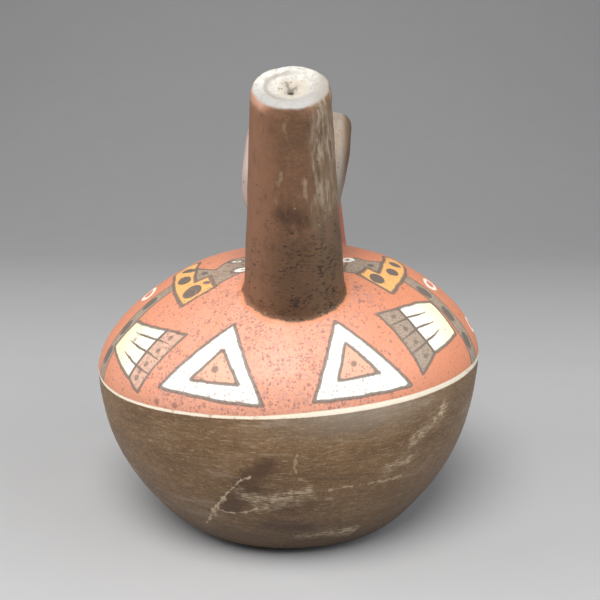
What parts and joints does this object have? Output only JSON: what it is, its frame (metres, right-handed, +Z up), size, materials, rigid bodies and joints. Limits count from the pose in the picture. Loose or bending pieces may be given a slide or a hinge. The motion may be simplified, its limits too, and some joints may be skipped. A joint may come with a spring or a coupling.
{
  "type": "spout and strap-handle vessel",
  "caption": "Squat hand-built clay vessel with a leaning open spout and a strap handle arching from it to the far shoulder, painted above and dark brown below.",
  "frame": {"origin": "on the ground under the middle of the body's widest ring", "axes": "+Z up, the spout leans towards -Y, the handle lands towards +Y"},
  "size_m": [0.15, 0.15, 0.1721],
  "materials": {
    "fired_clay": "burnished slip, matt to satin"
  },
  "bodies": {
    "root": {"body": "fired_clay", "spout": "fired_clay"}
  },
  "joints": []
}
